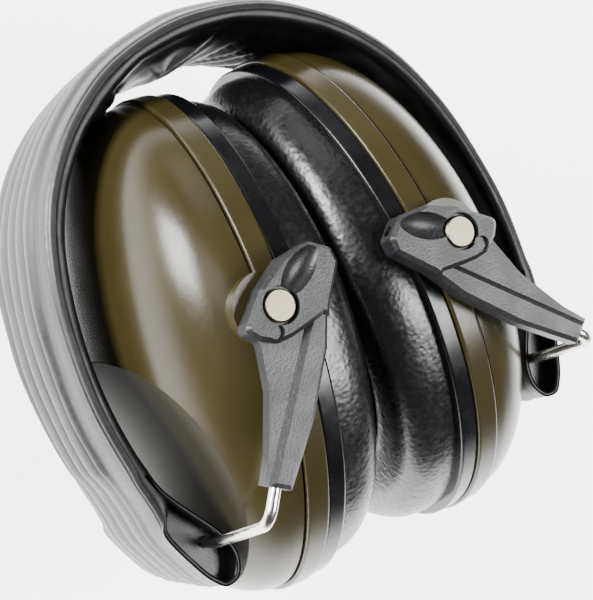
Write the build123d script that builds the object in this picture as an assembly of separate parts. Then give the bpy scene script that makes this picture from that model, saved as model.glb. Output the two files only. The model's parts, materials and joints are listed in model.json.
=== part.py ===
"""Folding earmuff hearing protector, folded up for storage: both cups lie inside the headband loop.

Model axes: +X towards the right cup, +Y towards the crown of the headband, +Z towards the front.
The origin is on the resting plane, under the middle of the folded object. It lies on its back arms.
All shapes are made about the middle of the headband loop and moved to that place at the end.
"""
from build123d import *
from math import asin, atan2, cos, degrees, hypot, radians, sin
import os

os.makedirs("parts", exist_ok=True)

# Headband loop, seen along Z: a four-arc oval at the seam, and the layers as distances outward from it.
BAND_SEMI_X = 44.3
BAND_SEMI_Y = 55.3
BAND_END_RADIUS = 42.0
BAND_MID_Y = -3.4
BAND_HALF_WIDTH = 18.3
BAND_END_Y = -24.0
LINING = (-1.5, -0.7)
PADDING = (-0.7, 1.1)
SPRING = (1.1, 1.9)
COVER = (1.9, 2.9)
RIB_HEIGHTS = (0.7, 1.1, 1.3, 1.1, 0.7)
RIB_WIDTH = 5.2
RIB_PITCH = 6.0
LIP_WIDTH = 0.9
SPRING_HALF_WIDTH = 14.0

# Place where each half of the headband bends most, as an angle on the crown's arc, and its knuckle.
FLEX_ANGLE = 101.6
KNUCKLE_DEPTH = 1.3
KNUCKLE_RADIUS = 3.05
KNUCKLE_GAP = 0.35
FLEX_GAP = 2.4

# Sleeve end and the block in it. Points are on the left side, seen along Z.
POCKET_TIP = (-42.7, -18.4)
POCKET_OUTER_MIDDLE = (-44.1, -26.0)
POCKET_OUTER_END = (-40.4, -36.4)
POCKET_END_MIDDLE = (-37.0, -39.5)
POCKET_INNER_END = (-34.6, -35.6)
POCKET_INNER_MIDDLE = (-36.7, -28.4)
SLEEVE_WALL = 1.2
BLOCK_HALF_LENGTH = 14.0
BLOCK_FIT = 0.1
SPRING_END_Y = -24.5
RETAINER_MIDDLE = (-38.5, -32.9)
RETAINER_ANGLE = -62.8
RETAINER_LENGTH = 7.0
RETAINER_WEB = 0.7
RETAINER_FLANGE = 2.2

# Wire stirrup. The pivot is on the left side.
PIVOT = (-37.2, -32.3)
WIRE_DIAMETER = 2.0
WIRE_CLEARANCE = 0.05
WIRE_STRAIGHT = 19.0
WIRE_LEAN = 3.6
WIRE_BEND = 3.0
WIRE_IN_ARM = 33.0
WIRE_PLANE = 42.5
PIN_OFFSET = 5.3

# Arms, in the arm's own axes: s along the wire from the tip, o towards the pin.
ARM_INNER_FACE = 40.9
ARM_OUTER_FACE = 45.4
ARM_STEP = 0.8
ARM_EDGE = 0.7
ARM_CORNER = 1.2
ARM_PIN_FROM_TIP = 29.0
ARM_FACET_DROP = 0.75
FACET_LINE = ((-1.0, 0.7), (32.0, -1.4))
FACET_SLOPE = 1.1
THUMB_MIDDLE = (35.3, 3.2)
THUMB_ANGLE = -22.0
THUMB_LENGTH = 13.2
THUMB_RADIUS = 2.6
THUMB_LIFT = 1.0
EJECTOR_MARK = (24.6, 5.2)

# Cups, in the cup's own axes: v outward from the rim plane along X, u towards the crown along Y.
RIM_HALF_HEIGHT = 48.0
RIM_SQUASH = 0.8208
RIM_DEPTH = 4.8
RIM_LEDGE = 0.8
RIM_GROOVE = 0.4
EDGE_ROUND = 0.5
DOME_HEIGHT = 25.2
DOME_WALL = 2.2
CUP_OFFSET = 14.03
CUP_DROP = -3.6
CUP_LEAN = 3.75
PAIR_TURN = -4.5
PAIR_SHIFT = 0.35
CUT_TOP = (26.6, 6.0)
CUT_MIDDLE = (17.6, -14.2)
CUT_BOTTOM = (13.4, -42.0)
PLATE_DEPTH = 3.6
PLATE_INSET = 0.6
EAR_HALF_HEIGHT = 30.0
EAR_HALF_WIDTH = 20.0
RING_DEPTH = 1.2
FOAM_DEPTH = 4.6
FOAM_HALF_HEIGHT = 43.5
FOAM_HALF_WIDTH = 34.5
SKIN = 1.2
CONTACT_GAP = 0.15

# Pins that hold the cups in the arms.
PIN_V = 4.44
PIN_U = 3.32
PIN_HEAD_DIAMETER = 5.6
PIN_HEAD_DEPTH = 0.9
PIN_HEAD_SUNK = 0.3
PIN_SHANK_DIAMETER = 4.0
PIN_CLEARANCE = 0.05
PIN_RECESS_CLEARANCE = 0.5
BOSS_RADIUS = 6.6
BOSS_FACE = 40.5
BOSS_ROOT = 33.5
CLIP_THICKNESS = 0.6
CLIP_RADIUS = 3.4

# Where the object stands: the back arms' outer faces are on Z = 0.
STANCE = Location((0.0, -1.676, ARM_OUTER_FACE))

Z_SPAN = 120.0


def band_oval(depth):
    """Oval face at a distance outward from the seam: two end arcs joined by two flatter side arcs."""
    end_y = BAND_SEMI_Y - BAND_END_RADIUS
    spare = BAND_SEMI_X - BAND_END_RADIUS
    side_radius = (end_y**2 + spare * (BAND_SEMI_X + BAND_END_RADIUS)) / (2 * spare)
    side_x = side_radius - BAND_SEMI_X
    reach = (BAND_END_RADIUS + depth) / hypot(side_x, end_y)
    join = (side_x * reach, end_y + end_y * reach)
    left, right = (-join[0], join[1]), join
    low_left, low_right = (-join[0], -join[1]), (join[0], -join[1])
    return make_face([
        ThreePointArc(left, (0, BAND_SEMI_Y + depth), right),
        ThreePointArc(right, (BAND_SEMI_X + depth, 0), low_right),
        ThreePointArc(low_right, (0, -BAND_SEMI_Y - depth), low_left),
        ThreePointArc(low_left, (-BAND_SEMI_X - depth, 0), left),
    ])


def flat_ring(inner, outer, half_width):
    """Layer of the headband between two distances from the seam, all the way round."""
    ring = extrude(band_oval(outer) - band_oval(inner), half_width, both=True)
    return Pos(0, BAND_MID_Y, 0) * ring


def crown_point(angle, depth):
    """Point of the crown's arc at an angle and a depth from the seam."""
    radius = BAND_END_RADIUS + depth
    middle_y = BAND_MID_Y + BAND_SEMI_Y - BAND_END_RADIUS
    return radius * cos(radians(angle)), middle_y + radius * sin(radians(angle))


def half_plane(point, direction, shift=0.0):
    """Big block behind a point: everything on the side that the direction points to."""
    size = 150.0
    angle = degrees(atan2(direction[1], direction[0]))
    block = Pos(size / 2 + shift, 0, 0) * Box(size, 2 * size, Z_SPAN)
    return Pos(point[0], point[1], 0) * Rot(0, 0, angle) * block


def flex_frame():
    """Flex axis of the left half, and the direction along the band away from the crown."""
    axis = crown_point(FLEX_ANGLE, KNUCKLE_DEPTH)
    return axis, (-sin(radians(FLEX_ANGLE)), cos(radians(FLEX_ANGLE)))


def knuckle(radius):
    """Round bar along Z on the left flex axis."""
    axis, _ = flex_frame()
    return Pos(axis[0], axis[1], 0) * Cylinder(radius, Z_SPAN)


def crown_part(layer):
    """Middle stretch of a layer, between the two flex axes."""
    axis, along = flex_frame()
    left_side = half_plane(axis, along, -FLEX_GAP) + knuckle(KNUCKLE_RADIUS + KNUCKLE_GAP)
    top = layer & (Pos(0, 60, 0) * Box(60, 60, Z_SPAN))
    return top - left_side - mirror(left_side, about=Plane.YZ)


def side_part(layer):
    """Left stretch of a layer, from the flex axis to the sleeve end."""
    axis, along = flex_frame()
    beyond = layer & half_plane(axis, along)
    beyond = beyond & (Pos(-75, 0, 0) * Box(150, 300, Z_SPAN))
    beyond = beyond - half_plane((0, BAND_END_Y), (0, -1))
    return beyond + (layer & knuckle(KNUCKLE_RADIUS))


def pocket_face(grow=0.0):
    """Tear-shaped opening at the end of the left sleeve, seen along Z."""
    outer = ThreePointArc(POCKET_TIP, POCKET_OUTER_MIDDLE, POCKET_OUTER_END)
    end = ThreePointArc(POCKET_OUTER_END, POCKET_END_MIDDLE, POCKET_INNER_END)
    inner = ThreePointArc(POCKET_INNER_END, POCKET_INNER_MIDDLE, POCKET_TIP)
    face = make_face([outer, end, inner])
    if grow:
        face = offset(face, grow)
    return face


def outer_cover_ring():
    """Ribbed cover: a thin ring, five long ribs and a lip down each edge."""
    cover = flat_ring(COVER[0], COVER[1], BAND_HALF_WIDTH)
    middle = (len(RIB_HEIGHTS) - 1) / 2
    for index, height in enumerate(RIB_HEIGHTS):
        rib = flat_ring(COVER[0], COVER[1] + height, RIB_WIDTH / 2)
        cover += Pos(0, 0, (index - middle) * RIB_PITCH) * rib
    lip = flat_ring(PADDING[0], COVER[1], LIP_WIDTH / 2)
    for side in (-1, 1):
        cover += Pos(0, 0, side * (BAND_HALF_WIDTH - LIP_WIDTH / 2)) * lip
    return cover


def spring_ring():
    return flat_ring(SPRING[0], SPRING[1], SPRING_HALF_WIDTH)


def spring_strip_side():
    """Left half of the spring steel strip, which runs on into the end block."""
    axis, along = flex_frame()
    strip = spring_ring() & (Pos(-75, 0, 0) * Box(150, 300, Z_SPAN))
    beyond = strip & half_plane(axis, along)
    beyond = beyond - half_plane((0, SPRING_END_Y), (0, -1))
    return beyond + (spring_ring() & knuckle(KNUCKLE_RADIUS))


def sleeve_end():
    """Tube that closes the left sleeve round the end block."""
    outside = pocket_face(SLEEVE_WALL)
    return extrude(outside - pocket_face(), BAND_HALF_WIDTH, both=True)


def outer_cover_side():
    pocket = extrude(pocket_face(SLEEVE_WALL), BAND_HALF_WIDTH, both=True)
    cover = side_part(outer_cover_ring()) - pocket
    return cover + sleeve_end() - spring_strip_side()


def inner_layer_side(layer):
    """Left stretch of a layer that stops where the sleeve end begins."""
    pocket = extrude(pocket_face(SLEEVE_WALL), Z_SPAN / 2, both=True)
    return side_part(layer) - pocket


def retainer_face(grow=0.0):
    """I-shaped section of the bar that keeps the wire in its block."""
    shape = Rectangle(RETAINER_LENGTH + 2 * grow, RETAINER_WEB + 2 * grow)
    for side in (-1, 1):
        flange = Rectangle(RETAINER_WEB + 2 * grow, RETAINER_FLANGE + 2 * grow)
        shape += Pos(side * (RETAINER_LENGTH - RETAINER_WEB) / 2, 0) * flange
    return Pos(*RETAINER_MIDDLE) * Rot(0, 0, RETAINER_ANGLE) * shape


def wire_retainer():
    bar = extrude(retainer_face(), BLOCK_HALF_LENGTH, both=True)
    return bar - wire_bore()


def wire_bore():
    radius = WIRE_DIAMETER / 2 + WIRE_CLEARANCE
    return Pos(PIVOT[0], PIVOT[1], 0) * Cylinder(radius, Z_SPAN)


def end_block():
    """Moulded block in the left sleeve end, with the wire's bore and the retainer's slot."""
    block = extrude(pocket_face(-BLOCK_FIT), BLOCK_HALF_LENGTH, both=True)
    slot = extrude(retainer_face(0.02), Z_SPAN / 2, both=True)
    block = block - wire_bore() - slot - spring_strip_side()
    return max(block.solids(), key=lambda solid: solid.volume)


def cup_place(side):
    """Place of a cup: side is -1 for the left cup and 1 for the right one."""
    in_pair = Pos(side * CUP_OFFSET, CUP_DROP, 0) * Rot(0, 0, side * CUP_LEAN)
    return Pos(PAIR_SHIFT, 0, 0) * Rot(0, 0, PAIR_TURN) * in_pair


def pin_point(side):
    """Place of a cup's pins, seen along Z."""
    at = (cup_place(side) * Pos(side * PIN_V, PIN_U, 0)).position
    return at.X, at.Y


def pivot_point(side):
    return -side * PIVOT[0], PIVOT[1]


def arm_frame(side):
    """Direction of the wire in the arms, and how far the arm's tip is from the wire's pivot."""
    pin = pin_point(side)
    pivot = pivot_point(side)
    across = pin[0] - pivot[0]
    up = pin[1] - pivot[1]
    distance = hypot(across, up)
    angle = degrees(atan2(up, across)) + side * degrees(asin(PIN_OFFSET / distance))
    reach = (distance**2 - PIN_OFFSET**2) ** 0.5
    return angle, reach - ARM_PIN_FROM_TIP


def arm_place(side):
    """Place of an arm's own axes, with o towards the pin on both sides."""
    angle, start = arm_frame(side)
    pivot = pivot_point(side)
    turn = Rot(0, 0, angle) if side < 0 else Rot(0, 0, angle) * Rot(180, 0, 0)
    return Pos(pivot[0], pivot[1], 0) * turn * Pos(start, 0, 0)


def arm_outline():
    """Outline of an arm: a slim shank that widens into the head round the pin."""
    edge = Polyline(
        (0, -2.4), (12, -4.2), (24, -4.5), (31, -3.4), (38.6, -3.6), (40.6, -1.8), (40.6, 2.4),
        (36.8, 6.6), (31, 9.2), (23.4, 10.6), (22.4, 7.2), (15, 4.2), (5, 2.5), (0, 2.4), close=True,
    )
    face = make_face(edge)
    soft = face.vertices().filter_by(lambda v: v.X > 20)
    return fillet(soft, ARM_CORNER)


def head_outline():
    """Outline of the raised head only, with its step across the shank."""
    beyond = Polyline(
        (29.6, -9), (29.3, -2.5), (25.9, 0.7), (24.3, 2.4), (22.9, 4.4), (22.2, 12), (50, 12), (50, -9),
        close=True,
    )
    return arm_outline() & make_face(beyond)


def raised_slab(face, top):
    """Slab of the arm up to a level, with a bevel round its outer face."""
    slab = Pos(0, 0, ARM_INNER_FACE) * extrude(face, top - ARM_INNER_FACE)
    return chamfer(slab.faces().sort_by(Axis.Z)[-1].edges(), ARM_EDGE)


def arm_facet_cutter():
    """Bar that lowers the facet on the pin side of the shank, with a slope up to the ridge over the wire."""
    run = Vector(*FACET_LINE[1], 0) - Vector(*FACET_LINE[0], 0)
    across = Vector(-run.Y, run.X, 0).normalized()
    start = Vector(*FACET_LINE[0], ARM_OUTER_FACE - ARM_STEP)
    plane = Plane(origin=start, x_dir=across, z_dir=-run)
    section = Polyline(
        (0, 0), (FACET_SLOPE, -ARM_FACET_DROP), (20, -ARM_FACET_DROP), (20, 5), (0, 5), close=True,
    )
    if plane.y_dir.Z < 0:
        section = mirror(section, about=Plane.XZ)
    bar = extrude(plane * make_face(section), -run.length)
    return bar - Pos(0, 0, ARM_INNER_FACE) * extrude(head_outline(), 20)


def arm_front():
    """Front arm in its own axes."""
    arm = raised_slab(arm_outline(), ARM_OUTER_FACE - ARM_STEP) - arm_facet_cutter()
    arm += raised_slab(head_outline(), ARM_OUTER_FACE)
    arm -= arm_thumb_recess()
    arm -= Pos(*EJECTOR_MARK, ARM_OUTER_FACE - 0.3) * Cylinder(1.3, 1)
    arm -= Pos(ARM_PIN_FROM_TIP, PIN_OFFSET, ARM_OUTER_FACE) * pin_recess()
    channel = Rot(0, 90, 0) * Cylinder(WIRE_DIAMETER / 2 + WIRE_CLEARANCE, Z_SPAN)
    return arm - Pos(0, 0, WIRE_PLANE) * channel


def arm_thumb_recess():
    """Long smooth hollow from the pin towards the head's end, round in section."""
    arc = ThreePointArc((-THUMB_LENGTH / 2, 0), (0, THUMB_RADIUS), (THUMB_LENGTH / 2, 0))
    half = make_face([arc, Line(arc @ 1, arc @ 0)])
    hollow = revolve(half, Axis.X)
    return Pos(*THUMB_MIDDLE, ARM_OUTER_FACE + THUMB_LIFT) * Rot(0, 0, THUMB_ANGLE) * hollow


def pin_recess():
    """Counterbore for the pin's head and the hole for its shank."""
    depth = PIN_HEAD_SUNK + PIN_HEAD_DEPTH + 0.1
    radius = PIN_HEAD_DIAMETER / 2 + PIN_RECESS_CLEARANCE
    recess = Cylinder(radius, 2 * depth)
    shank = Cylinder(PIN_SHANK_DIAMETER / 2 + PIN_CLEARANCE, 30)
    return recess + shank


def arm(side, front):
    shape = arm_place(side) * (arm_front() if side < 0 else mirror(arm_front(), about=Plane.XY))
    return shape if front else mirror(shape, about=Plane.XY)


def wire_stirrup(side):
    """U of stainless wire: straight through the block, then out to the arms on both faces."""
    angle, start = arm_frame(side)
    pivot = pivot_point(side)
    along = (cos(radians(angle)), sin(radians(angle)))
    far = start + WIRE_IN_ARM
    lean = (pivot[0] + WIRE_LEAN * along[0], pivot[1] + WIRE_LEAN * along[1])
    tip = (pivot[0] + far * along[0], pivot[1] + far * along[1])
    points = [
        (tip[0], tip[1], WIRE_PLANE), (lean[0], lean[1], WIRE_PLANE), (pivot[0], pivot[1], WIRE_STRAIGHT),
        (pivot[0], pivot[1], -WIRE_STRAIGHT), (lean[0], lean[1], -WIRE_PLANE), (tip[0], tip[1], -WIRE_PLANE),
    ]
    path = FilletPolyline(*points, radius=WIRE_BEND)
    section = Plane(origin=path @ 0, z_dir=path % 0) * Circle(WIRE_DIAMETER / 2)
    return sweep(section, path=path)


def oval(half_height, start, stop, half_width=None):
    """Oval disc in the cup's axes: half height along Y and half width along Z, from start to stop in X."""
    half_width = half_height * RIM_SQUASH if half_width is None else half_width
    face = Plane.YZ * Ellipse(half_height, half_width)
    return Pos(start, 0, 0) * extrude(face, stop - start)


def dome(inset):
    """Round bowl on the rim, turned about X and then narrowed in Z."""
    rim = RIM_HALF_HEIGHT - RIM_LEDGE - inset
    top = DOME_HEIGHT - inset
    rise = 0.62 * (top - RIM_DEPTH)
    curve = Bezier((RIM_DEPTH, rim), (RIM_DEPTH + rise, rim), (top, 0.55 * rim), (top, 0))
    foot = Polyline((top, 0), (0, 0), (0, rim), (RIM_DEPTH, rim))
    bowl = revolve(make_face([curve, foot]), Axis.X)
    return scale(bowl, by=(1, 1, RIM_SQUASH))


def cutaway(shift):
    """Everything outside the hollowed flank that clears the headband's end."""
    arc = ThreePointArc(
        (CUT_TOP[0] - shift, CUT_TOP[1]), (CUT_MIDDLE[0] - shift, CUT_MIDDLE[1]),
        (CUT_BOTTOM[0] - shift, CUT_BOTTOM[1]),
    )
    far = 60.0
    edge = Polyline(
        (CUT_BOTTOM[0] - shift, CUT_BOTTOM[1]), (CUT_BOTTOM[0] - shift, -far), (far, -far),
        (far, CUT_TOP[1]), (CUT_TOP[0] - shift, CUT_TOP[1]),
    )
    return extrude(make_face([arc, edge]), far, both=True)


def boss(side):
    """Round boss that carries a pin, on the front (1) or back (-1) of the rim."""
    length = BOSS_FACE - BOSS_ROOT
    body = Pos(PIN_V, PIN_U, side * (BOSS_ROOT + length / 2)) * Cylinder(BOSS_RADIUS, length)
    return body & (Pos(50, 0, 0) * Box(100, 200, Z_SPAN))


def cup_shell():
    """Moulded cup: rim, bowl with a hollowed flank, and two bosses."""
    outside = rounded_oval(RIM_HALF_HEIGHT, 0, RIM_DEPTH - RIM_GROOVE)
    outside += oval(RIM_HALF_HEIGHT - 2 * RIM_LEDGE, 1, RIM_DEPTH + 1)
    outside += (dome(0) - cutaway(0)) & (Pos(RIM_DEPTH + 50, 0, 0) * Box(100, 200, Z_SPAN))
    inside = oval(RIM_HALF_HEIGHT - RIM_LEDGE - DOME_WALL, -1, 1) + (dome(DOME_WALL) - cutaway(DOME_WALL))
    shell = outside + boss(1) + boss(-1) - (inside - boss(1) - boss(-1))
    hole = Pos(PIN_V, PIN_U, 0) * Cylinder(PIN_SHANK_DIAMETER / 2, Z_SPAN)
    return shell - hole


def rounded_oval(half_height, start, stop):
    """Oval disc with softened edges."""
    disc = oval(half_height, start, stop)
    return fillet(disc.edges(), EDGE_ROUND)


def ear_opening(start, stop):
    return oval(EAR_HALF_HEIGHT, start, stop, EAR_HALF_WIDTH)


def cup_plate():
    """Flat ring on the rim that the cushion snaps to."""
    plate = rounded_oval(RIM_HALF_HEIGHT - PLATE_INSET, -PLATE_DEPTH, 0)
    return plate - ear_opening(-PLATE_DEPTH - 1, 1)


def cushion_ring():
    """Stiff backing of the cushion."""
    back = -PLATE_DEPTH - RING_DEPTH
    ring = oval(FOAM_HALF_HEIGHT, back, -PLATE_DEPTH, FOAM_HALF_WIDTH)
    return ring - ear_opening(back - 1, 1)


def cushion_foam():
    back = -PLATE_DEPTH - RING_DEPTH
    foam = oval(FOAM_HALF_HEIGHT, back - FOAM_DEPTH, back, FOAM_HALF_WIDTH)
    return foam - ear_opening(back - FOAM_DEPTH - 1, 1)


def contact_block():
    """Everything past the plane where the two cushions press on each other, in the right cup's axes."""
    beyond = Pos(-50 + CONTACT_GAP, 0, 0) * Box(100, 200, Z_SPAN)
    contact = Pos(PAIR_SHIFT, 0, 0) * Rot(0, 0, PAIR_TURN) * beyond
    return cup_place(1).inverse() * contact


def cushion_cover():
    """Soft skin of the cushion, pressed flat where it meets the other cup."""
    outside = oval(RIM_HALF_HEIGHT - 2.6, -15.4, -PLATE_DEPTH)
    face = outside.faces().sort_by(Axis.X)[0]
    outside = fillet(face.edges(), 5.0)
    opening = oval(EAR_HALF_HEIGHT - SKIN, -30, 1, EAR_HALF_WIDTH - SKIN)
    core = oval(FOAM_HALF_HEIGHT, -PLATE_DEPTH - RING_DEPTH - FOAM_DEPTH, 1, FOAM_HALF_WIDTH)
    core = core - ear_opening(-30, 2)
    return outside - opening - core - contact_block()


def acoustic_foam():
    """Block of open-cell foam in the bowl."""
    outside = dome(DOME_WALL + 1.0) - cutaway(DOME_WALL + 1.0)
    block = outside & (oval(36, 3.0, 40, 27.0))
    return block


def pivot_pins():
    """The cup's two headed pins."""
    head_top = ARM_OUTER_FACE - PIN_HEAD_SUNK
    head = Pos(0, 0, head_top - PIN_HEAD_DEPTH / 2) * Cylinder(PIN_HEAD_DIAMETER / 2, PIN_HEAD_DEPTH)
    head = chamfer(head.edges().filter_by(GeomType.CIRCLE).sort_by(Axis.Z)[-1], 0.25)
    inner_end = BOSS_ROOT - 2 * CLIP_THICKNESS
    shank_length = head_top - PIN_HEAD_DEPTH - inner_end
    shank = Pos(0, 0, inner_end + shank_length / 2) * Cylinder(PIN_SHANK_DIAMETER / 2, shank_length)
    pin = Pos(PIN_V, PIN_U, 0) * (head + shank)
    return pin, mirror(pin, about=Plane.XY)


def pin_clips():
    """Push-on washers that hold the pins inside the cup."""
    washer = Cylinder(CLIP_RADIUS, CLIP_THICKNESS) - Cylinder(PIN_SHANK_DIAMETER / 2, Z_SPAN)
    clip = Pos(PIN_V, PIN_U, BOSS_ROOT - CLIP_THICKNESS / 2) * washer
    return clip, mirror(clip, about=Plane.XY)


def save(name, *shapes):
    """Write one node in its place on the standing object."""
    solids = [solid for shape in shapes for solid in (STANCE * shape).solids()]
    node = solids[0] if len(solids) == 1 else Compound(children=solids)
    node.label = name
    export_step(node, f"parts/{name}.step")
    return node


def save_pair(name, left_shape):
    """Write a left node and its mirror image on the right."""
    nodes = [save(f"{name}_left", left_shape)]
    nodes.append(save(f"{name}_right", mirror(left_shape, about=Plane.YZ)))
    return nodes


def save_cup_pair(name, *right_shapes):
    """Write a node of both cups from its shapes in the right cup's axes."""
    right = [cup_place(1) * shape for shape in right_shapes]
    left = [cup_place(-1) * mirror(shape, about=Plane.YZ) for shape in right_shapes]
    return [save(f"{name}_right", *right), save(f"{name}_left", *left)]


def build_headband():
    layers = {
        "inner_lining": flat_ring(LINING[0], LINING[1], BAND_HALF_WIDTH),
        "padding": flat_ring(PADDING[0], PADDING[1], BAND_HALF_WIDTH - LIP_WIDTH),
    }
    nodes = [
        save("outer_cover_crown", crown_part(outer_cover_ring())),
        save("spring_strip_crown", crown_part(spring_ring())),
    ]
    for name, layer in layers.items():
        nodes.append(save(f"{name}_crown", crown_part(layer)))
        nodes += save_pair(name, inner_layer_side(layer))
    nodes += save_pair("outer_cover", outer_cover_side())
    nodes += save_pair("spring_strip", spring_strip_side())
    nodes += save_pair("end_block", end_block())
    nodes += save_pair("wire_retainer", wire_retainer())
    return nodes


def build_arms():
    nodes = []
    for side, name in ((-1, "left"), (1, "right")):
        nodes.append(save(f"wire_stirrup_{name}", wire_stirrup(side)))
        nodes.append(save(f"arm_{name}_front", arm(side, True)))
        nodes.append(save(f"arm_{name}_back", arm(side, False)))
    return nodes


def build_cups():
    nodes = save_cup_pair("cup_shell", cup_shell())
    nodes += save_cup_pair("cup_plate", cup_plate())
    nodes += save_cup_pair("cushion_ring", cushion_ring())
    nodes += save_cup_pair("cushion_foam", cushion_foam())
    nodes += save_cup_pair("cushion_cover", cushion_cover())
    nodes += save_cup_pair("acoustic_foam", acoustic_foam())
    nodes += save_cup_pair("pivot_pins", *pivot_pins())
    nodes += save_cup_pair("pin_clips", *pin_clips())
    return nodes


result = Compound(children=build_headband() + build_arms() + build_cups())
result.label = "folding_earmuff"
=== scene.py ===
"""Looks of a folding earmuff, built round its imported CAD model. Lengths are in metres."""

import json
import math

import bmesh
import bpy
from mathutils import Matrix, Vector, noise


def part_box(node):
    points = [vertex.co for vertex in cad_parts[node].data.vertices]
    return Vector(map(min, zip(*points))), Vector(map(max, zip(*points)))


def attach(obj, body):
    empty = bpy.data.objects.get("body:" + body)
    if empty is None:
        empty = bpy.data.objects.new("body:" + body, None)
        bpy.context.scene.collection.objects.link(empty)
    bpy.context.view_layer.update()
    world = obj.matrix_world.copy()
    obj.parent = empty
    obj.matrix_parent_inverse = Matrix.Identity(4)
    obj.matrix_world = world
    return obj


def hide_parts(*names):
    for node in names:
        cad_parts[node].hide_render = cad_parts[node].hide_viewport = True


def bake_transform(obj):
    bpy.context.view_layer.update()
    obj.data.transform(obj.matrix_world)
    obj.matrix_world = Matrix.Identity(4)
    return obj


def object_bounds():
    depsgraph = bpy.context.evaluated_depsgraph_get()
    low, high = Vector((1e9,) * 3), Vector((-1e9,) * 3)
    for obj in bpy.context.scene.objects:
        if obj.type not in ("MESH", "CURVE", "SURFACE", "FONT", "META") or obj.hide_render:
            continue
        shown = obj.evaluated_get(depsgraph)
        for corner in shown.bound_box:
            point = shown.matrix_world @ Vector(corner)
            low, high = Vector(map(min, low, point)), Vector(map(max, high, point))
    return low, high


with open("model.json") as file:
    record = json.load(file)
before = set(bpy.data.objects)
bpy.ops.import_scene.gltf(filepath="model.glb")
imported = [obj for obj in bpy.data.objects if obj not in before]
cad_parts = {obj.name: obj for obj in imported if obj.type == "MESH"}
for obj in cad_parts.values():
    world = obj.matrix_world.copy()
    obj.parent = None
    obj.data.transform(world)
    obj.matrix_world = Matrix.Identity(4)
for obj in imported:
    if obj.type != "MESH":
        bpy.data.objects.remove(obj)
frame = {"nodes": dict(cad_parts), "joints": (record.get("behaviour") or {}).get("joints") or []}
cad_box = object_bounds()

MM = 0.001
JOINTS = {joint["name"]: joint for joint in frame["joints"]}

# Camera, fitted to the photograph.
CAMERA_AT = (-0.12111, 0.01902, 0.33167)
CAMERA_RIGHT = (0.8141, -0.4272, 0.3934)
CAMERA_UP = (0.4191, 0.9011, 0.1111)
CAMERA_LENS = 97.07
SENSOR = 36.0

# Floor and lights. Each light has its place, its size and its power in watts.
FLOOR_HALF_SIZE = 14.0
FLOOR_GAP = 0.2 * MM
FLOOR_GLOW = 4.2
WORLD_LIGHT = 0.12
LIGHT_AIM = (0, 0, 0.05)
LIGHTS = {
    "overhead": ((0.38, -0.25, 0.82), 0.42, 11.0),
    "key": ((-0.40, 0.36, 0.78), 0.36, 0.8),
    "rear": ((0.15, 0.75, 0.45), 0.5, 0.9),
    "side": ((-0.60, 0.48, 0.35), 0.32, 13.5),
}

# Painted shadow under the object: an oval on the floor, and the share of it where the glow comes
# back.
SHADE_MIDDLE = (18 * MM, -2 * MM, 0)
SHADE_REACH = (40 * MM, 45 * MM, 1)
SHADE_GLOW = 0.05
SHADE_EDGE = (0.72, 1.0)

# Distances over which the floor's glow fades away from the object, and the share left far off.
FADE_REACH = (0.17, 0.50)
FAR_SHARE = 0.2

# Headband sleeve, as in the CAD layers: distances are outward from the seam.
SEAM_TO_RIB_TOP = 4.2 * MM
SEAM_TO_LINING = 1.5 * MM
SEAM_HALF_HEIGHT = 55.3 * MM
SEAM_HALF_WIDTH = 44.3 * MM
SEAM_END_RADIUS = 42.0 * MM
SLEEVE_HALF_WIDTH = 18.3 * MM
SLEEVE_SKIN = 2.9 * MM
SLEEVE_WALL = 1.15 * MM
LEAST_WALL = 0.9 * MM

# Line round the outside of the left sleeve end, in millimetres from the wire's pivot.
SLEEVE_END = [
    (-8.1, 10.6), (-7.5, 4.2), (-5.0, -2.8), (-3.3, -6.1), (-1.2, -8.2), (1.8, -7.6), (3.5, -3.9),
    (2.5, 1.0), (-0.9, 7.0), (-3.6, 12.0), (-4.9, 16.4),
]

# Steps along the sleeve's outer line: round the crown, down the side and between the points above.
CROWN_STEPS = 52
SIDE_STEPS = 36
END_STEPS = 7
SIDE_STOP = math.pi + 0.13

# Skin of the sleeve across the band: ribs, then a rounded shoulder to each edge.
RIB_PITCH = 6.0 * MM
RIB_OFFSET = 0.4 * MM
RIB_HEIGHT = 1.5 * MM
RIB_POWER = 0.75
RIB_FADE = (-1.5 * MM, 0.8 * MM)
SHOULDER_DROP = 2.7 * MM
SHOULDER_AT = 14.8 * MM
SHOULDER_MOVES = 3.2 * MM
SHOULDER_FULLNESS = 0.985
SKIN_SWELL = 0.20 * MM
SKIN_CORE = 14.5 * MM
SKIN_STEP = 0.5 * MM
CORE_STEPS = 59
RIM_STEPS = 20

# Changes along the sleeve: the step where the shoulder starts to move, and steps past the start of
# its end over which the wall thins and the ribs get lower, with how much of them goes.
SHOULDER_FROM = 30
WALL_THINS = (6, 12)
RIBS_LOWER = (-2, 3)
RIBS_LOWER_BY = 0.50
RIBS_FADE_OUT = (3, 40)
RIBS_FADE_OUT_BY = 0.28

# Place, width and height of the seam and of the hem, near each edge of the skin.
EDGE_SEAM = (17.2 * MM, 0.22 * MM, 0.26 * MM)
EDGE_HEM = (17.95 * MM, 0.24 * MM, 0.34 * MM)

# Lining: steps across it, small wrinkles, turned edges and the loose folds under the crown.
LINING_STEPS = 62
WRINKLE = 0.35 * MM
LOOSE_FADE = (12 * MM, 18 * MM)
LINING_EDGE = 16.2 * MM
LINING_TURN = 0.9 * MM
FOLD_FADE = (20 * MM, 38 * MM)
FOLD_SLANT = 0.35
FOLD_AT_EDGE = 0.25
WAVE_SIZE = (9.5 * MM, 13 * MM)
WAVE_DEPTH = 1.9 * MM
CREASE_SIZE = (7 * MM, 16 * MM)
CREASE_SHARPNESS = 2.6
CREASE_DEPTH = 0.9 * MM
FOLD_SAG = 2.4 * MM

# Spring strip inside the sleeve: depths of its two faces under the outer line.
SPRING_HALF_WIDTH = 14 * MM
SPRING_OUTER_DEPTH = 1.0 * MM
SPRING_INNER_DEPTH = 1.8 * MM

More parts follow.
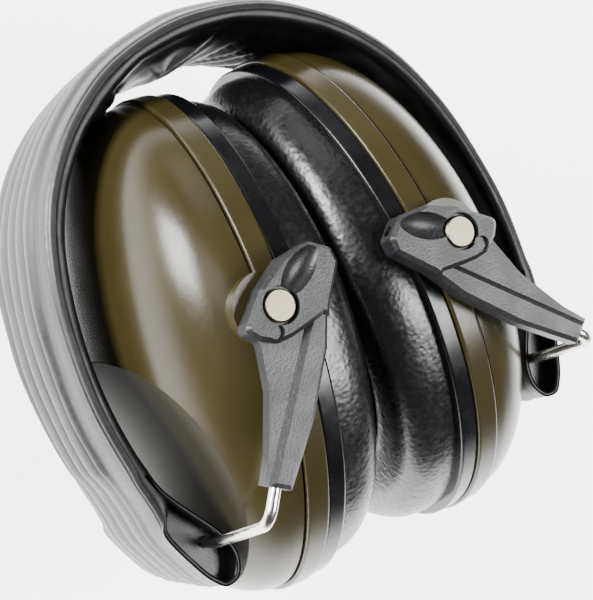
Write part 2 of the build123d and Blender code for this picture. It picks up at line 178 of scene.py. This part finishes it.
# How each cup is turned about Z, where its pins are from the middle of its rim, and its oval shape.
CUP_TURN = {"left": math.radians(-8.25), "right": math.radians(-0.75)}
PIN_OUT = 4.44 * MM
PIN_UP = 3.32 * MM
CUP_SQUASH = 0.8208

# Cushion: radii before the squash, depths from the rim, and how much its skin swells and ripples.
PLATE_DEPTH = 3.6 * MM
CUSHION_OUTER = 45.6 * MM
CUSHION_INNER = 28.6 * MM
CUSHION_DEPTH = 13.6 * MM
CUSHION_AROUND = 220
CUSHION_ACROSS = 44
CUSHION_SWELL = 0.30 * MM
CUSHION_RIPPLE = 0.04 * MM
SWELL_FADE = 1.5 * MM
PRESS_GAP = 0.12 * MM

# Section of a cushion: where its turn starts and how far it goes, in half turns, and its roundness.
SECTION_START = -0.06
SECTION_TURN = 1.12
SIDE_POWER = 0.78
RISE_POWER = 0.72

# Points of the hollow flank of a cup, outward from its rim and upward, in millimetres.
FLANK = ((26.6, 6.0), (17.6, -14.2), (13.4, -42.0))
FLANK_WITHIN = 0.12 * MM
FLANK_DULLER = 0.5

# Colours of the shell, with painted shade for its hollow flank, and the sockets of a Mix node that
# hold colours.
OLIVE_DARK = (0.038, 0.0308, 0.0090, 1)
OLIVE_LIGHT = (0.047, 0.0384, 0.0122, 1)
# Painted shade: a darker olive for the hollow flank, which stands in shadow.
OLIVE_FLANK_SHADE = (0.022, 0.0178, 0.0052, 1)
MIX_FIRST, MIX_SECOND, MIX_RESULT = 6, 7, 2


def smooth_step(edge0, edge1, value):
    """Smooth step from 0 to 1."""
    t = min(1.0, max(0.0, (value - edge0) / (edge1 - edge0)))
    return t * t * (3 - 2 * t)


def smooth_noise(point, size, seed=0.0):
    """Smooth noise from -1 to 1 at a feature size in metres."""
    at = Vector((point[0] / size + seed, point[1] / size, point[2] / size))
    return noise.noise(at)


def mesh_from_rings(name, rings, join_ends=False, cap_ends=False):
    """Mesh of quads between closed rings of points; its caps have sharp borders."""
    count = len(rings[0])
    vertices = [tuple(point) for ring in rings for point in ring]
    faces = []
    spans = len(rings) if join_ends else len(rings) - 1
    for i in range(spans):
        first = i * count
        second = ((i + 1) % len(rings)) * count
        for k in range(count):
            after = (k + 1) % count
            faces.append((first + k, second + k, second + after, first + after))
    if cap_ends:
        faces.append(tuple(range(count)))
        last = (len(rings) - 1) * count
        faces.append(tuple(last + k for k in reversed(range(count))))
    mesh = bpy.data.meshes.new(name)
    mesh.from_pydata(vertices, [], faces)
    piece = finish_mesh(name, mesh)
    if cap_ends:
        caps = [set(face.edge_keys) for face in mesh.polygons if len(face.vertices) > 4]
        for edge in mesh.edges:
            edge.use_edge_sharp = any(edge.key in cap for cap in caps)
    return piece


def finish_mesh(name, mesh):
    """Object with smooth faces and outward normals."""
    build = bmesh.new()
    build.from_mesh(mesh)
    bmesh.ops.recalc_face_normals(build, faces=build.faces)
    build.to_mesh(mesh)
    build.free()
    for face in mesh.polygons:
        face.use_smooth = True
    piece = bpy.data.objects.new(name, mesh)
    bpy.context.scene.collection.objects.link(piece)
    return piece


# ---------------------------------------------------------------- materials

def shader_nodes(name):
    """New node material: its tree, its shader and object coordinates."""
    material = bpy.data.materials.new(name)
    material.use_nodes = True
    tree = material.node_tree
    shader = tree.nodes["Principled BSDF"]
    coordinates = tree.nodes.new("ShaderNodeTexCoord").outputs["Object"]
    return material, tree, shader, coordinates


def noise_node(tree, coordinates, size, detail=3.0, stretch=(1, 1, 1)):
    """Noise with features of about one size in metres."""
    mapping = tree.nodes.new("ShaderNodeMapping")
    mapping.inputs["Scale"].default_value = stretch
    tree.links.new(coordinates, mapping.inputs["Vector"])
    texture = tree.nodes.new("ShaderNodeTexNoise")
    texture.inputs["Scale"].default_value = 1.0 / size
    texture.inputs["Detail"].default_value = detail
    tree.links.new(mapping.outputs["Vector"], texture.inputs["Vector"])
    return texture.outputs["Fac"]


def cells_node(tree, coordinates, size):
    """Rounded cells, as in moulded or embossed grain."""
    texture = tree.nodes.new("ShaderNodeTexVoronoi")
    texture.feature = "SMOOTH_F1"
    texture.inputs["Scale"].default_value = 1.0 / size
    texture.inputs["Smoothness"].default_value = 0.6
    tree.links.new(coordinates, texture.inputs["Vector"])
    return texture.outputs["Distance"]


def length_of(tree, vector):
    """Length of a vector."""
    node = tree.nodes.new("ShaderNodeVectorMath")
    node.operation = "LENGTH"
    tree.links.new(vector, node.inputs[0])
    return node.outputs["Value"]


def smooth_range(tree, value, edges, low, high):
    """Smooth step of a value between two edges, from low to high."""
    node = tree.nodes.new("ShaderNodeMapRange")
    node.interpolation_type = "SMOOTHSTEP"
    node.inputs["From Min"].default_value = edges[0]
    node.inputs["From Max"].default_value = edges[1]
    node.inputs["To Min"].default_value = low
    node.inputs["To Max"].default_value = high
    tree.links.new(value, node.inputs["Value"])
    return node.outputs["Result"]


def ramp(tree, value, low, high, start=0.3, stop=0.7):
    """Colour or grey between two stops of a value."""
    node = tree.nodes.new("ShaderNodeValToRGB")
    node.color_ramp.elements[0].position = start
    node.color_ramp.elements[1].position = stop
    node.color_ramp.elements[0].color = low
    node.color_ramp.elements[1].color = high
    tree.links.new(value, node.inputs["Fac"])
    return node.outputs["Color"]


def grey(value):
    """Opaque grey."""
    return (value, value, value, 1.0)


def bump(tree, shader, heights):
    """Chain of bumps, each with its height output, its strength and its depth in metres."""
    before = None
    for height, strength, depth in heights:
        node = tree.nodes.new("ShaderNodeBump")
        node.inputs["Strength"].default_value = strength
        node.inputs["Distance"].default_value = depth
        tree.links.new(height, node.inputs["Height"])
        if before is not None:
            tree.links.new(before, node.inputs["Normal"])
        before = node.outputs["Normal"]
    tree.links.new(before, shader.inputs["Normal"])


def flank_arc(side):
    """Middle and radius of the arc that a cup's hollowed flank follows, seen along Z."""
    middle, outward, upward = cup_axes(side)
    a, b, c = (middle + outward * out * MM + upward * up * MM for out, up in FLANK)
    a, b, c = (Vector((p.x, p.y)) for p in (a, b, c))
    corners = ((a, b, c), (b, c, a), (c, a, b))
    double_area = 2 * sum(p.x * (q.y - r.y) for p, q, r in corners)
    x = sum(p.length_squared * (q.y - r.y) for p, q, r in corners) / double_area
    y = sum(p.length_squared * (r.x - q.x) for p, q, r in corners) / double_area
    centre = Vector((x, y))
    return centre, (a - centre).length


def flank_mask(tree, at, side):
    """One on a cup's hollowed flank, nought on the rest of the shell."""
    centre, radius = flank_arc(side)
    flat = tree.nodes.new("ShaderNodeVectorMath")
    flat.operation = "MULTIPLY_ADD"
    flat.inputs[1].default_value = (1, 1, 0)
    flat.inputs[2].default_value = (-centre.x, -centre.y, 0)
    tree.links.new(at, flat.inputs[0])
    on_arc = tree.nodes.new("ShaderNodeMath")
    on_arc.operation = "COMPARE"
    on_arc.inputs[1].default_value = radius
    on_arc.inputs[2].default_value = FLANK_WITHIN
    tree.links.new(length_of(tree, flat.outputs[0]), on_arc.inputs[0])
    return on_arc.outputs[0]


def shell_material(side):
    """Olive moulded plastic: satin, with a fine grain, duller on the flank and darker there by
    painted shade.
    """
    material, tree, shader, at = shader_nodes(f"olive_shell_{side}")
    blotch = noise_node(tree, at, 0.012)
    colour = ramp(tree, blotch, OLIVE_DARK, OLIVE_LIGHT)
    flank = flank_mask(tree, at, side)
    # Painted shade: the flank's olive is mixed darker here; its dullness is real roughness.
    shade = tree.nodes.new("ShaderNodeMix")
    shade.data_type = "RGBA"
    tree.links.new(flank, shade.inputs["Factor"])
    tree.links.new(colour, shade.inputs[MIX_FIRST])
    shade.inputs[MIX_SECOND].default_value = OLIVE_FLANK_SHADE
    tree.links.new(shade.outputs[MIX_RESULT], shader.inputs["Base Color"])
    fine = noise_node(tree, at, 0.0009, 2.0)
    dull = tree.nodes.new("ShaderNodeMath")
    dull.operation = "MULTIPLY_ADD"
    dull.inputs[1].default_value = FLANK_DULLER
    tree.links.new(flank, dull.inputs[0])
    tree.links.new(ramp(tree, fine, grey(0.23), grey(0.27)), dull.inputs[2])
    tree.links.new(dull.outputs[0], shader.inputs["Roughness"])
    peel = noise_node(tree, at, 0.0007, 1.0)
    bump(tree, shader, [(peel, 0.20, 0.00005)])
    shader.inputs["Specular IOR Level"].default_value = 0.48
    return material


def moulded_material(name, dark, light, rough, grain, strength):
    """Black moulded plastic with a spark-eroded texture."""
    material, tree, shader, at = shader_nodes(name)
    speck = noise_node(tree, at, grain, 2.0)
    tree.links.new(ramp(tree, speck, dark, light), shader.inputs["Base Color"])
    broad = noise_node(tree, at, 0.006)
    tree.links.new(ramp(tree, broad, grey(rough - 0.05), grey(rough + 0.06)),
                   shader.inputs["Roughness"])
    bump(tree, shader, [(speck, strength, 0.00008)])
    return material


def plate_material():
    """Glossy black plastic with faint flow marks and a little dust."""
    material, tree, shader, at = shader_nodes("gloss_plate")
    dust = noise_node(tree, at, 0.0004, 2.0)
    clean, dusty = (0.004, 0.0042, 0.0052, 1), (0.05, 0.05, 0.052, 1)
    tree.links.new(ramp(tree, dust, clean, dusty, 0.68, 0.95), shader.inputs["Base Color"])
    streak = noise_node(tree, at, 0.004, 3.0)
    tree.links.new(ramp(tree, streak, grey(0.16), grey(0.30)), shader.inputs["Roughness"])
    bump(tree, shader, [(streak, 0.15, 0.0001)])
    return material


def leatherette_material():
    """Soft black leatherette with fine creases between rounded grains."""
    material, tree, shader, at = shader_nodes("leatherette")
    blotch = noise_node(tree, at, 0.009)
    tree.links.new(ramp(tree, blotch, (0.0032, 0.0032, 0.0036, 1), (0.0065, 0.0065, 0.0072, 1)),
                   shader.inputs["Base Color"])
    grain = noise_node(tree, at, 0.0011, 3.0)
    tree.links.new(ramp(tree, grain, grey(0.24), grey(0.40)), shader.inputs["Roughness"])
    crease = noise_node(tree, at, 0.0026, 4.0)
    pebbles = cells_node(tree, at, 0.0009)
    bump(tree, shader, [(crease, 0.10, 0.0002), (pebbles, 0.6, 0.00009), (grain, 0.25, 0.00006)])
    shader.inputs["Specular IOR Level"].default_value = 0.8
    return material


def sleeve_material():
    """Satin black vinyl of the headband, with a fine grain."""
    material, tree, shader, at = shader_nodes("sleeve_vinyl")
    blotch = noise_node(tree, at, 0.014)
    tree.links.new(ramp(tree, blotch, (0.010, 0.010, 0.011, 1), (0.017, 0.017, 0.019, 1)),
                   shader.inputs["Base Color"])
    fine = noise_node(tree, at, 0.0008, 3.0)
    tree.links.new(ramp(tree, fine, grey(0.36), grey(0.50)), shader.inputs["Roughness"])
    broad = noise_node(tree, at, 0.005)
    bump(tree, shader, [(fine, 0.25, 0.00008), (broad, 0.25, 0.0005)])
    shader.inputs["Specular IOR Level"].default_value = 0.9
    return material


def lining_material():
    """Thin glossy black lining with loose wrinkles."""
    material, tree, shader, at = shader_nodes("lining_vinyl")
    blotch = noise_node(tree, at, 0.01)
    tree.links.new(ramp(tree, blotch, (0.0025, 0.0025, 0.003, 1), (0.006, 0.006, 0.007, 1)),
                   shader.inputs["Base Color"])
    tree.links.new(ramp(tree, blotch, grey(0.28), grey(0.42)), shader.inputs["Roughness"])
    wrinkles = noise_node(tree, at, 0.009, 1.0)
    fine = noise_node(tree, at, 0.0011)
    bump(tree, shader, [(wrinkles, 0.3, 0.0009), (fine, 0.2, 0.0001)])
    shader.inputs["Specular IOR Level"].default_value = 0.28
    return material


def metal_material(name, dark, light, rough, stretch):
    """Drawn or turned metal with fine lines."""
    material, tree, shader, at = shader_nodes(name)
    lines = noise_node(tree, at, 0.0006, 4.0, stretch)
    tree.links.new(ramp(tree, lines, dark, light), shader.inputs["Base Color"])
    shader.inputs["Metallic"].default_value = 1.0
    tree.links.new(ramp(tree, lines, grey(rough - 0.06), grey(rough + 0.1)),
                   shader.inputs["Roughness"])
    bump(tree, shader, [(lines, 0.25, 0.00004)])
    return material


def foam_material():
    """Open-cell foam: dark grey, matt and full of small pores."""
    material, tree, shader, at = shader_nodes("open_foam")
    pores = cells_node(tree, at, 0.0012)
    tree.links.new(ramp(tree, pores, (0.02, 0.02, 0.021, 1), (0.10, 0.10, 0.105, 1), 0.1, 0.6),
                   shader.inputs["Base Color"])
    shader.inputs["Roughness"].default_value = 0.95
    bump(tree, shader, [(pores, 0.9, 0.0008)])
    return material


# ---------------------------------------------------------------- headband sleeve

def sleeve_frame():
    """Centre of the seam oval and its flatter side arcs."""
    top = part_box("outer_cover_crown")[1][1] - SEAM_TO_RIB_TOP
    middle_y = top - SEAM_HALF_HEIGHT
    end_y = SEAM_HALF_HEIGHT - SEAM_END_RADIUS
    spare = SEAM_HALF_WIDTH - SEAM_END_RADIUS
    side_radius = (end_y**2 + spare * (SEAM_HALF_WIDTH + SEAM_END_RADIUS)) / (2 * spare)
    return middle_y, end_y, side_radius


def smooth_line(points, steps):
    """Catmull-Rom line through points."""
    line = []
    for i in range(1, len(points) - 2):
        a, b, c, d = (Vector(points[i + k]) for k in (-1, 0, 1, 2))
        for k in range(steps):
            t = k / steps
            line.append(0.5 * ((2 * b) + (c - a) * t + (2 * a - 5 * b + 4 * c - d) * t * t
                               + (3 * b - a - 3 * c + d) * t**3))
    line.append(Vector(points[-2]))
    return line


def sleeve_line():
    """Outer line of the left sleeve, from crown to tip, and the step where its end starts."""
    middle_y, end_y, side_radius = sleeve_frame()
    join = math.atan2(end_y, side_radius - SEAM_HALF_WIDTH)
    line = []
    radius = SEAM_END_RADIUS + SLEEVE_SKIN
    for k in range(CROWN_STEPS):
        angle = math.pi / 2 + (math.pi / 2 - join) * k / CROWN_STEPS
        line.append(Vector((radius * math.cos(angle), middle_y + end_y + radius * math.sin(angle))))
    radius = side_radius + SLEEVE_SKIN
    for k in range(SIDE_STEPS):
        angle = math.pi - join + (SIDE_STOP - math.pi + join) * k / SIDE_STEPS
        line.append(Vector((side_radius - SEAM_HALF_WIDTH + radius * math.cos(angle),
                            middle_y + radius * math.sin(angle))))
    pivot = Vector(JOINTS["fold_left"]["pos_m"][:2])
    end = [pivot + Vector(step) * MM for step in SLEEVE_END]
    end = smooth_line([line[-2], line[-1]] + end + [end[-1] * 2 - end[-2]], END_STEPS)
    return line + end[1:], len(line)


def round_off(distance, reach, drop):
    """Drop of a rounded shoulder at a distance past its start."""
    t = min(1.0, max(0.0, distance / reach))
    return drop * (1 - math.sqrt(1 - SHOULDER_FULLNESS * t * t))


def ridge(z, place, width, height):
    """Low round ridge along both edges of the band."""
    return height * math.exp(-((abs(z) - place) / width) ** 2)


def rib_profile(z, amount, shoulder):
    """Height of the ribbed skin over its base, across the band."""
    edge = 1 - smooth_step(shoulder + RIB_FADE[0], shoulder + RIB_FADE[1], abs(z))
    wave = abs(math.cos(math.pi * (z + RIB_OFFSET) / RIB_PITCH)) ** RIB_POWER
    ribs = RIB_HEIGHT * wave * edge * amount
    dip = round_off(abs(z) - shoulder, SLEEVE_HALF_WIDTH - shoulder, SHOULDER_DROP)
    return ribs + ridge(z, *EDGE_SEAM) + ridge(z, *EDGE_HEM) - dip * min(1.0, amount + 0.25)


def lining_fold(x, z):
    """Loose folds of the lining under the crown, inward where negative."""
    at_crown = 1 - smooth_step(*FOLD_FADE, abs(x))
    along, across = x * 0.9 + z * FOLD_SLANT, z * 0.45
    wave = noise.noise(Vector((along / WAVE_SIZE[0] + 1.7, across / WAVE_SIZE[1], 4.2)))
    valley = noise.noise(Vector((along / CREASE_SIZE[0] + 5.1, across / CREASE_SIZE[1], 0.7)))
    crease = max(0.0, 1 - abs(valley) * CREASE_SHARPNESS) ** 3
    sag = FOLD_SAG * (1 - (z / SLEEVE_HALF_WIDTH) ** 2)
    return at_crown * (-WAVE_DEPTH * wave + CREASE_DEPTH * crease - sag)


def across_steps():
    """Places across the outer skin: close together near both edges."""
    core = [-SKIN_CORE + SKIN_STEP * k for k in range(CORE_STEPS)]
    rim_width = SLEEVE_HALF_WIDTH - SKIN_CORE
    rim = [SKIN_CORE + rim_width * (k + 1) / RIM_STEPS for k in range(RIM_STEPS)]
    return [-z for z in reversed(rim)] + core + rim


def sleeve_rings(line, tip):
    """Closed sections of the left sleeve, thick along the strap and thin round the end."""
    outer_steps = across_steps()
    count = len(line)
    sections = []
    strap = SLEEVE_SKIN + SEAM_TO_LINING
    low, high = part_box("outer_cover_left")
    middle_z = (low[2] + high[2]) / 2
    for i, point in enumerate(line):
        along = (line[min(count - 1, i + 1)] - line[i - 1]).normalized() if i else Vector((-1, 0))
        outward = Vector((along.y, -along.x))
        share = smooth_step(*WALL_THINS, i - tip)
        thick = strap * (1 - share) + SLEEVE_WALL * share
        amount = 1 - RIBS_LOWER_BY * smooth_step(*RIBS_LOWER, i - tip)
        amount -= RIBS_FADE_OUT_BY * smooth_step(*RIBS_FADE_OUT, i - tip)
        shoulder = SHOULDER_AT - SHOULDER_MOVES * smooth_step(SHOULDER_FROM, tip, i)
        section = []
        for z in outer_steps:
            place = Vector((point.x, point.y, z))
            lift = rib_profile(z, amount, shoulder) + SKIN_SWELL * smooth_noise(place, 0.012, 3.0)
            lift = max(lift, -thick + LEAST_WALL)
            section.append((*(point + outward * lift), middle_z + z))
        for k in range(LINING_STEPS):
            z = SLEEVE_HALF_WIDTH - 2 * SLEEVE_HALF_WIDTH * k / (LINING_STEPS - 1)
            place = Vector((point.x, point.y, z))
            loose = 1 - smooth_step(*LOOSE_FADE, abs(z))
            turned = round_off(abs(z) - LINING_EDGE, SLEEVE_HALF_WIDTH - LINING_EDGE, LINING_TURN)
            wrinkle = WRINKLE * smooth_noise(place, 0.008, 9.0) * loose
            wrinkle += lining_fold(point.x, z) * (FOLD_AT_EDGE + (1 - FOLD_AT_EDGE) * loose)
            depth = -thick + (wrinkle + turned) * (1 - share)
            section.append((*(point + outward * depth), middle_z + z))
        sections.append(section)
    return sections


def mirrored(points):
    """Points of the other side of the headband."""
    return [(-x, y, z) for x, y, z in points]


def build_sleeves(vinyl, lining):
    """Sleeve of each half: vinyl outside, lining inside. The right one stands for the crown too."""
    line, tip = sleeve_line()
    left = sleeve_rings(line, tip)
    across = len(across_steps())
    crown = {"left": [], "right": ["outer_cover_crown", "padding_crown", "inner_lining_crown"]}
    for side in ("left", "right"):
        rings = left if side == "left" else [mirrored(ring) for ring in left]
        sleeve = mesh_from_rings(f"headband_sleeve_{side}", rings, cap_ends=True)
        sleeve.data.materials.append(vinyl)
        sleeve.data.materials.append(lining)
        for face in sleeve.data.polygons:
            local = [vertex % len(rings[0]) for vertex in face.vertices]
            if len(local) == 4 and min(local) >= across - 1:
                face.material_index = 1
        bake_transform(sleeve)
        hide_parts(f"outer_cover_{side}", f"padding_{side}", f"inner_lining_{side}",
                    *crown[side])


def build_springs(steel):
    """Spring strip of each half, bent like the sleeve round it."""
    line, tip = sleeve_line()
    middle_z = JOINTS["flex_left"]["pos_m"][2]
    low, high = middle_z - SPRING_HALF_WIDTH, middle_z + SPRING_HALF_WIDTH
    for side in ("left", "right"):
        rings = []
        for i in range(tip + 8):
            along = (line[i + 1] - line[max(0, i - 1)]).normalized()
            out = Vector((along.y, -along.x))
            outer = line[i] - out * SPRING_OUTER_DEPTH
            inner = line[i] - out * SPRING_INNER_DEPTH
            ring = [(*outer, low), (*outer, high), (*inner, high), (*inner, low)]
            rings.append(ring if side == "left" else mirrored(ring))
        spring = mesh_from_rings(f"headband_spring_{side}", rings, cap_ends=True)
        spring.data.materials.append(steel)
        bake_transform(spring)
        nodes = [f"spring_strip_{side}"] + (["spring_strip_crown"] if side == "right" else [])
        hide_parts(*nodes)


# ---------------------------------------------------------------- cushions

def cup_axes(side):
    """Middle of a cup's rim, its outward direction and its upward direction."""
    turn = CUP_TURN[side]
    sign = -1 if side == "left" else 1
    outward = Vector((sign * math.cos(turn), sign * math.sin(turn), 0))
    upward = Vector((-math.sin(turn), math.cos(turn), 0))
    pin = Vector(JOINTS[f"swivel_{side}"]["pos_m"])
    return pin - outward * PIN_OUT - upward * PIN_UP, outward, upward


def pressed_depth(side, point):
    """How far a point of the rim plane is from where the two cushions press on each other."""
    middle, outward, _ = cup_axes(side)
    other_middle, other_out, _ = cup_axes("left" if side == "right" else "right")
    normal = (outward - other_out).normalized()
    contact = (middle + other_middle) / 2
    return (point - contact).dot(normal) / outward.dot(normal) - PRESS_GAP


def cushion_section(side, angle, steps):
    """D-shaped section of a cushion at one angle round the cup."""
    middle, outward, upward = cup_axes(side)
    centre = (CUSHION_OUTER + CUSHION_INNER) / 2
    half = (CUSHION_OUTER - CUSHION_INNER) / 2
    section = []
    for k in range(steps):
        turn = math.pi * (SECTION_START + SECTION_TURN * k / (steps - 1))
        side_step, rise = math.cos(turn), math.sin(turn)
        radius = centre + half * math.copysign(abs(side_step) ** SIDE_POWER, side_step)
        across = middle + upward * radius * math.sin(angle)
        across += Vector((0, 0, radius * CUP_SQUASH * math.cos(angle)))
        limit = min(pressed_depth(side, across), CUSHION_DEPTH)
        full = limit - PLATE_DEPTH
        lift = full * rise**RISE_POWER if rise > 0 else half * rise * 0.5
        depth = PLATE_DEPTH + lift
        place = across - outward * depth
        loose = smooth_step(0.0, 0.25 * full, limit - depth) * smooth_step(0.0, SWELL_FADE, lift)
        swell = CUSHION_SWELL * smooth_noise(place, 0.011, 4.0)
        swell += CUSHION_RIPPLE * smooth_noise(place, 0.0035, 8.0)
        push = (Vector((0, 0, math.cos(angle))) + upward * math.sin(angle)) * side_step
        push -= outward * max(0.0, rise)
        section.append(place + push.normalized() * swell * loose)
    return section


def build_cushions(leather):
    """Crowned ear cushions, pressed flat where they meet."""
    for side in ("left", "right"):
        rings = []
        for i in range(CUSHION_AROUND):
            angle = 2 * math.pi * i / CUSHION_AROUND
            rings.append(cushion_section(side, angle, CUSHION_ACROSS))
        cushion = mesh_from_rings(f"ear_cushion_{side}", rings, join_ends=True)
        cushion.data.materials.append(leather)
        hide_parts(f"cushion_cover_{side}")
        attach(cushion, f"cup_{side}")


# ---------------------------------------------------------------- stage

def build_stage():
    """Pale glowing floor, with a painted shadow under the object and its glow weaker far off, and
    soft lights.
    """
    mesh = bpy.data.meshes.new("floor")
    low = cad_box[0][2] - FLOOR_GAP
    corners = [(-1, -1), (1, -1), (1, 1), (-1, 1)]
    mesh.from_pydata([(x * FLOOR_HALF_SIZE, y * FLOOR_HALF_SIZE, low) for x, y in corners],
                     [], [(0, 1, 2, 3)])
    floor = bpy.data.objects.new("floor", mesh)
    bpy.context.scene.collection.objects.link(floor)
    material, tree, shader, at = shader_nodes("floor_paper")
    paper = noise_node(tree, at, 0.3)
    tree.links.new(ramp(tree, paper, grey(0.86), grey(0.90)), shader.inputs["Base Color"])
    shader.inputs["Roughness"].default_value = 0.9
    # Painted light and shadow: the floor glows, faintly in an oval under the object and more weakly
    # far off.
    shader.inputs["Emission Color"].default_value = (1, 1, 1, 1)
    tree.links.new(floor_glow(tree, at), shader.inputs["Emission Strength"])
    floor.data.materials.append(material)
    world = bpy.data.worlds.new("studio")
    world.use_nodes = True
    background = world.node_tree.nodes["Background"]
    background.inputs["Color"].default_value = (1, 1, 1, 1)
    background.inputs["Strength"].default_value = WORLD_LIGHT
    bpy.context.scene.world = world
    for name, (at, size, power) in LIGHTS.items():
        area_light(name, at, size, power)


def floor_glow(tree, at):
    """Glow of the floor: strong round the object, faint in a painted shadow under it and weak far
    off.
    """
    shift = tree.nodes.new("ShaderNodeVectorMath")
    shift.operation = "SUBTRACT"
    shift.inputs[1].default_value = SHADE_MIDDLE
    tree.links.new(at, shift.inputs[0])
    scale = tree.nodes.new("ShaderNodeVectorMath")
    scale.operation = "DIVIDE"
    scale.inputs[1].default_value = SHADE_REACH
    tree.links.new(shift.outputs[0], scale.inputs[0])
    glow = smooth_range(tree, length_of(tree, scale.outputs[0]), SHADE_EDGE, SHADE_GLOW, FLOOR_GLOW)
    fade = smooth_range(tree, length_of(tree, at), FADE_REACH, 1.0, FAR_SHARE)
    both = tree.nodes.new("ShaderNodeMath")
    both.operation = "MULTIPLY"
    tree.links.new(glow, both.inputs[0])
    tree.links.new(fade, both.inputs[1])
    return both.outputs[0]


def area_light(name, at, size, power):
    """Square soft light aimed at the object."""
    light = bpy.data.lights.new(name, "AREA")
    light.shape = "SQUARE"
    light.size = size
    light.energy = power
    lamp = bpy.data.objects.new(name, light)
    lamp.location = at
    aim = Vector(LIGHT_AIM) - Vector(at)
    lamp.rotation_euler = aim.to_track_quat("-Z", "Y").to_euler()
    bpy.context.scene.collection.objects.link(lamp)


def build_camera():
    """Camera fitted to the photograph."""
    camera = bpy.data.cameras.new("camera")
    camera.lens = CAMERA_LENS
    camera.sensor_width = SENSOR
    camera.sensor_fit = "AUTO"
    camera.clip_start = 0.01
    view = bpy.data.objects.new("camera", camera)
    right = Vector(CAMERA_RIGHT)
    up = Vector(CAMERA_UP)
    back = right.cross(up)
    turn = Matrix((right, up, back)).transposed().to_4x4()
    view.matrix_world = Matrix.Translation(CAMERA_AT) @ turn
    bpy.context.scene.collection.objects.link(view)
    bpy.context.scene.camera = view


# ---------------------------------------------------------------- assembly

def paint_cad_nodes():
    """Material of every CAD node that shows as it is."""
    black = moulded_material("black_arm", (0.006, 0.0062, 0.0068, 1), (0.030, 0.031, 0.034, 1),
                             0.40, 0.00045, 0.6)
    block = moulded_material("black_block", (0.004, 0.004, 0.0045, 1), (0.012, 0.012, 0.013, 1),
                             0.36, 0.0006, 0.3)
    shells = {side: shell_material(side) for side in ("left", "right")}
    plate = plate_material()
    nickel = metal_material("nickel_pin", (0.18, 0.155, 0.10, 1), (0.34, 0.31, 0.24, 1),
                            0.38, (0.12, 1, 1))
    steel = metal_material("bright_wire", (0.62, 0.60, 0.56, 1), (0.85, 0.83, 0.79, 1),
                           0.2, (1, 1, 0.05))
    foam = foam_material()
    by_start = {
        "arm": black, "end_block": block, "wire_retainer": block, "wire_stirrup": steel,
        "cup_shell_left": shells["left"], "cup_shell_right": shells["right"],
        "cup_plate": plate, "cushion_ring": block, "cushion_foam": foam,
        "acoustic_foam": foam, "pivot_pins": nickel, "pin_clips": steel,
    }
    for name, node in frame["nodes"].items():
        for start, material in by_start.items():
            if name.startswith(start):
                for holder in node.material_slots:
                    holder.material = material


paint_cad_nodes()
build_sleeves(sleeve_material(), lining_material())
build_cushions(leatherette_material())
build_springs(metal_material("spring_strip", (0.40, 0.40, 0.41, 1), (0.6, 0.6, 0.6, 1),
                             0.3, (1, 1, 0.1)))
build_stage()
build_camera()
